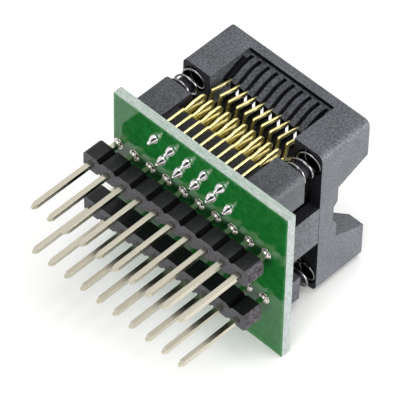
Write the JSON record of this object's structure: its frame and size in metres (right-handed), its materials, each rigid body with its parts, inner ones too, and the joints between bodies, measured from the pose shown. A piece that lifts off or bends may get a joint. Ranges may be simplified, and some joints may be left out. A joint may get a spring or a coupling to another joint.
{
  "type": "ic adapter board",
  "caption": "Chip adapter: an open-top socket with a sprung press cover and gold contacts on a small green circuit board with straight header pins below.",
  "frame": {"origin": "centre of the pin pattern, on the underside of the header plastic", "axes": "+X along the rows of pins towards the wide end of the board, +Z from the pins to the socket; front is the -Y side"},
  "size_m": [0.0271, 0.0234, 0.0307],
  "materials": {
    "board": "glossy solder mask",
    "header_plastic": "satin",
    "pin_metal": "bright plated",
    "solder": "bright solder",
    "socket_plastic": "fine grain",
    "cover_plastic": "fine grain",
    "contact_metal": "gold plated",
    "spring_steel": "bright wire"
  },
  "bodies": {
    "adapter": {"circuit_board": "board", "socket_base": "socket_plastic", "chip_nest": "socket_plastic", "front_header_strip": "header_plastic", "front_header_pins": "pin_metal", "front_header_solder": "solder", "front_tail_solder": "solder", "contact_front_1": "contact_metal", "contact_front_2": "contact_metal", "contact_front_3": "contact_metal", "contact_front_4": "contact_metal", "contact_front_5": "contact_metal", "contact_front_6": "contact_metal", "contact_front_7": "contact_metal", "contact_front_8": "contact_metal", "contact_front_9": "contact_metal", "contact_front_10": "contact_metal", "rear_header_strip": "header_plastic", "rear_header_pins": "pin_metal", "rear_header_solder": "solder", "rear_tail_solder": "solder", "contact_rear_1": "contact_metal", "contact_rear_2": "contact_metal", "contact_rear_3": "contact_metal", "contact_rear_4": "contact_metal", "contact_rear_5": "contact_metal", "contact_rear_6": "contact_metal", "contact_rear_7": "contact_metal", "contact_rear_8": "contact_metal", "contact_rear_9": "contact_metal", "contact_rear_10": "contact_metal", "cover_spring_front_left": "spring_steel", "cover_spring_front_right": "spring_steel", "cover_spring_rear_left": "spring_steel", "cover_spring_rear_right": "spring_steel"},
    "cover": {"press_cover": "cover_plastic"},
    "front_levers": {"lever_front_1": "contact_metal", "lever_front_2": "contact_metal", "lever_front_3": "contact_metal", "lever_front_4": "contact_metal", "lever_front_5": "contact_metal", "lever_front_6": "contact_metal", "lever_front_7": "contact_metal", "lever_front_8": "contact_metal", "lever_front_9": "contact_metal", "lever_front_10": "contact_metal"},
    "rear_levers": {"lever_rear_1": "contact_metal", "lever_rear_2": "contact_metal", "lever_rear_3": "contact_metal", "lever_rear_4": "contact_metal", "lever_rear_5": "contact_metal", "lever_rear_6": "contact_metal", "lever_rear_7": "contact_metal", "lever_rear_8": "contact_metal", "lever_rear_9": "contact_metal", "lever_rear_10": "contact_metal"}
  },
  "joints": [
    {"name": "cover_press", "type": "slide", "parent": "adapter", "child": "cover", "axis": [0, 0, -1], "range_m": [0, 0.0025], "stiffness_N_per_m": 1500, "springref_m": -0.002, "deforming": ["cover_spring_front_left", "cover_spring_front_right", "cover_spring_rear_left", "cover_spring_rear_right"]},
    {"name": "front_lever_turn", "type": "hinge", "parent": "adapter", "child": "front_levers", "pos_m": [0, -0.00812, 0.0119], "axis": [1, 0, 0], "range_deg": [0, 10.5]},
    {"name": "rear_lever_turn", "type": "hinge", "parent": "adapter", "child": "rear_levers", "pos_m": [0, 0.00812, 0.0119], "axis": [-1, 0, 0], "range_deg": [0, 10.5]}
  ],
  "couplings": [
    {"joint": "front_lever_turn", "follows": "cover_press", "rad_per_m": 73.3},
    {"joint": "rear_lever_turn", "follows": "cover_press", "rad_per_m": 73.3}
  ]
}
